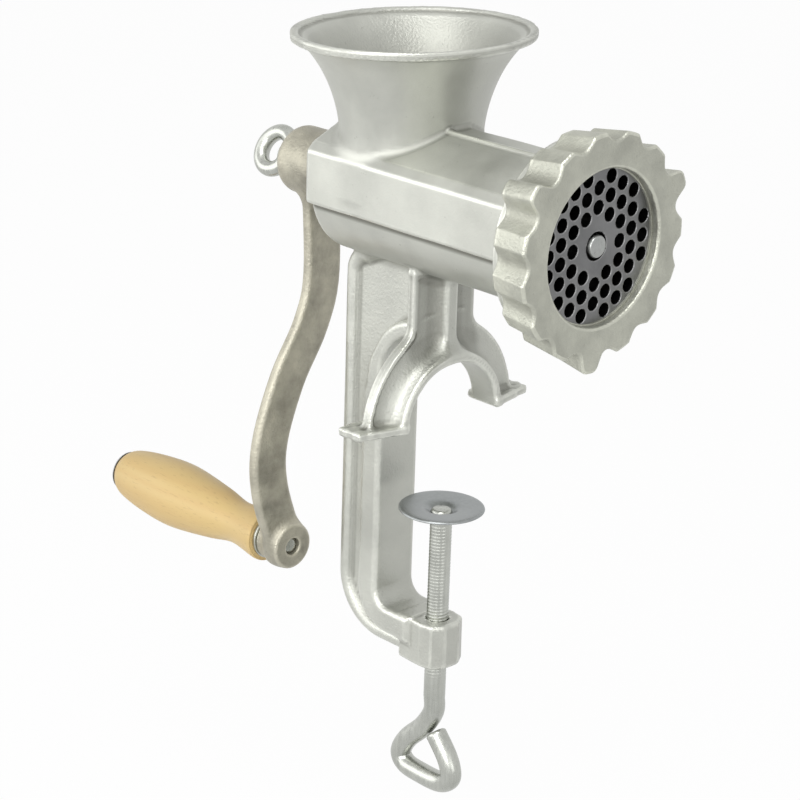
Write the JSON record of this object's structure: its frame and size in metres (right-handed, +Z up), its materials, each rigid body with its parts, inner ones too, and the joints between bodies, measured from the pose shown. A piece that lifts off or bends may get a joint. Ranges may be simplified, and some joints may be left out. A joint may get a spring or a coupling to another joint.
{
  "type": "manual meat grinder",
  "caption": "Hand-cranked meat grinder in tinned cast iron with a flared hopper, screw-on outlet ring and plate, wooden crank handle and a table clamp.",
  "frame": {"origin": "on the clamp screw's axis, in the plane of the table top on which the two saddle feet stand", "axes": "+X along the worm axis towards the outlet, +Z up along the clamp screw, +Y to the far side"},
  "size_m": [0.2353, 0.0922, 0.2817],
  "materials": {
    "tinned_iron": "hot-tinned, satin, slightly grainy",
    "ring_iron": "tinned and tumbled, dull and grainy",
    "crank_iron": "bare casting, warm grey, satin",
    "zinc_steel": "bright zinc plating",
    "bright_steel": "ground",
    "dark_steel": "ground and blackened, satin",
    "beech": "turned, bare or lightly oiled",
    "bush_plastic": "natural acetal",
    "fibre": "vulcanised fibre"
  },
  "bodies": {
    "casting": {"body_casting": "tinned_iron", "rear_bush": "bush_plastic", "thrust_washer": "fibre", "plate_key": "bright_steel"},
    "drive": {"auger": "tinned_iron", "knife_stud": "bright_steel", "knife": "bright_steel", "crank_arm": "crank_iron", "handle_pin": "zinc_steel", "handle_washer": "zinc_steel", "handle_end_cap": "dark_steel"},
    "handle": {"wooden_handle": "beech"},
    "plate": {"perforated_plate": "dark_steel"},
    "ring": {"ring_nut": "ring_iron"},
    "washer": {"crank_washer": "zinc_steel"},
    "thumb": {"thumb_screw": "zinc_steel"},
    "pad": {"clamp_pad": "zinc_steel"},
    "screw": {"clamp_screw": "zinc_steel"}
  },
  "joints": [
    {"name": "crank_turn", "type": "hinge", "parent": "casting", "child": "drive", "pos_m": [0, 0, 0.078], "axis": [1, 0, 0], "continuous": true},
    {"name": "handle_turn", "type": "hinge", "parent": "drive", "child": "handle", "pos_m": [-0.12, -0.014, -0.0665], "axis": [1, 0, 0], "continuous": true},
    {"name": "plate_slide", "type": "slide", "parent": "casting", "child": "plate", "axis": [1, 0, 0], "range_m": [0, 0.0091]},
    {"name": "ring_turn", "type": "hinge", "parent": "plate", "child": "ring", "pos_m": [0.06, 0, 0.078], "axis": [1, 0, 0], "range_deg": [0, 1093]},
    {"name": "washer_slide", "type": "slide", "parent": "drive", "child": "washer", "axis": [-1, 0, 0], "range_m": [0, 0.0171]},
    {"name": "thumb_turn", "type": "hinge", "parent": "washer", "child": "thumb", "pos_m": [-0.085, 0, 0.078], "axis": [-1, 0, 0], "range_deg": [0, 6157]},
    {"name": "pad_slide", "type": "slide", "parent": "casting", "child": "pad", "axis": [0, 0, 1], "range_m": [-0.0381, 0.0151]},
    {"name": "screw_turn", "type": "hinge", "parent": "pad", "child": "screw", "pos_m": [0, 0, -0.08], "axis": [0, 0, 1], "range_deg": [-10975, 4350]}
  ],
  "couplings": [
    {"joint": "ring_turn", "follows": "plate_slide", "rad_per_m": 2094.4},
    {"joint": "thumb_turn", "follows": "washer_slide", "rad_per_m": 6283.2},
    {"joint": "screw_turn", "follows": "pad_slide", "rad_per_m": 5026.5}
  ]
}
